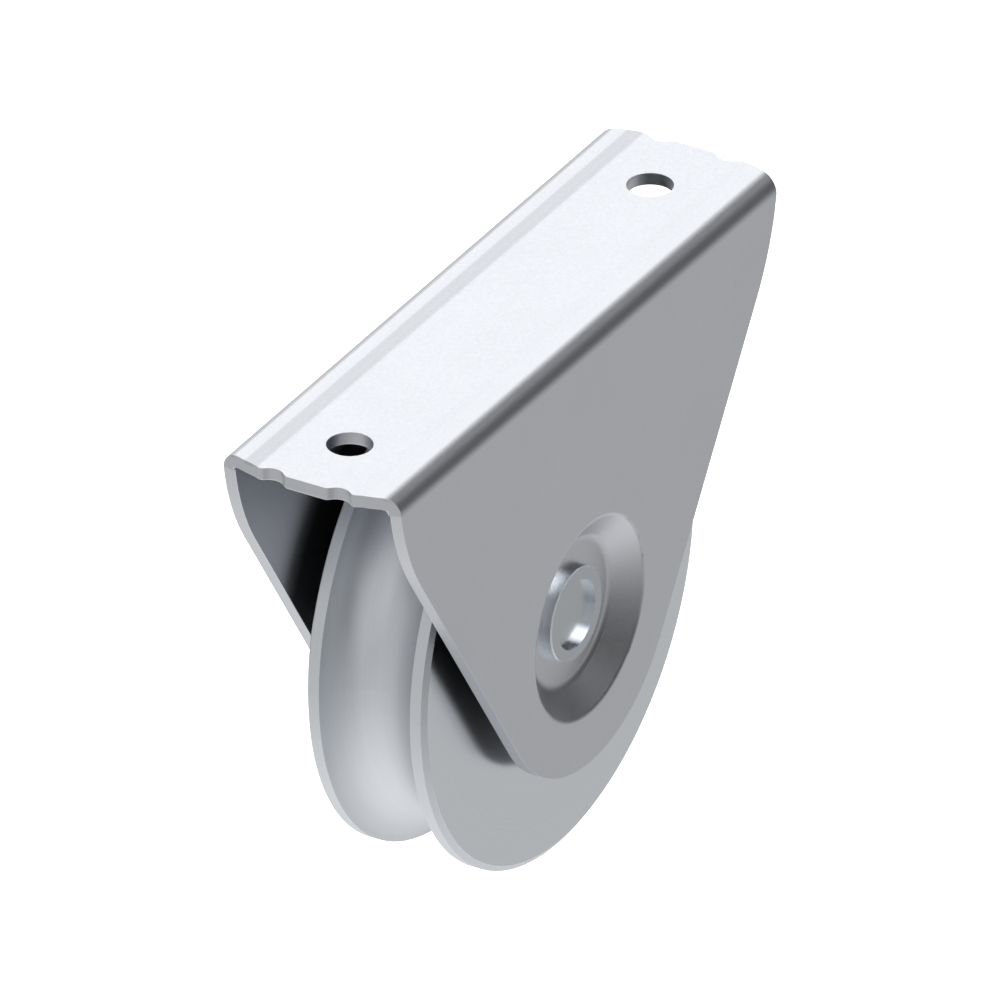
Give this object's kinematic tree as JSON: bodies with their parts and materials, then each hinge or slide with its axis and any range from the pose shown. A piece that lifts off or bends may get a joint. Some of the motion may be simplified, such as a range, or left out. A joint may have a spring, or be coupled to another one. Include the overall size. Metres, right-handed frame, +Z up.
{
  "type": "round groove wheel",
  "caption": "Steel wheel with a round groove for round track, on a riveted axle in a folded sheet bracket with two screw holes on top.",
  "frame": {"origin": "centre of the bracket's top face, midway between the two screw holes", "axes": "+Z up out of the top face, +X along the track, +Y along the axle"},
  "size_m": [0.1424, 0.038, 0.1095],
  "materials": {
    "zinc_sheet": "zinc-plated steel sheet, satin with a fine grain",
    "zinc_wheel": "zinc-plated turned steel, satin",
    "bright_pin": "zinc-plated turned steel, semi-gloss",
    "bearing_steel": "ground bearing steel",
    "ball_steel": "polished bearing steel",
    "cage_steel": "pressed steel strip",
    "shield_steel": "pressed steel sheet",
    "spring_steel": "black phosphated spring steel",
    "spacer_steel": "turned steel"
  },
  "bodies": {
    "bracket": {"bracket": "zinc_sheet", "axle": "bright_pin", "bearing_inner_ring": "bearing_steel", "spacer_left": "spacer_steel", "spacer_right": "spacer_steel"},
    "wheel": {"wheel": "zinc_wheel", "bearing_outer_ring": "bearing_steel", "retaining_ring": "spring_steel", "shield_left": "shield_steel", "shield_right": "shield_steel"},
    "cage": {"cage_left": "cage_steel", "cage_right": "cage_steel", "cage_rivets": "cage_steel", "ball_1": "ball_steel", "ball_2": "ball_steel", "ball_3": "ball_steel", "ball_4": "ball_steel", "ball_5": "ball_steel", "ball_6": "ball_steel", "ball_7": "ball_steel", "ball_8": "ball_steel"}
  },
  "joints": [
    {"name": "wheel_spin", "type": "hinge", "parent": "bracket", "child": "wheel", "pos_m": [0, 0, -0.0595], "axis": [0, 1, 0], "continuous": true},
    {"name": "cage_spin", "type": "hinge", "parent": "bracket", "child": "cage", "pos_m": [0, 0, -0.0595], "axis": [0, 1, 0], "continuous": true}
  ],
  "couplings": [
    {"joint": "cage_spin", "follows": "wheel_spin", "ratio": 0.6177}
  ]
}
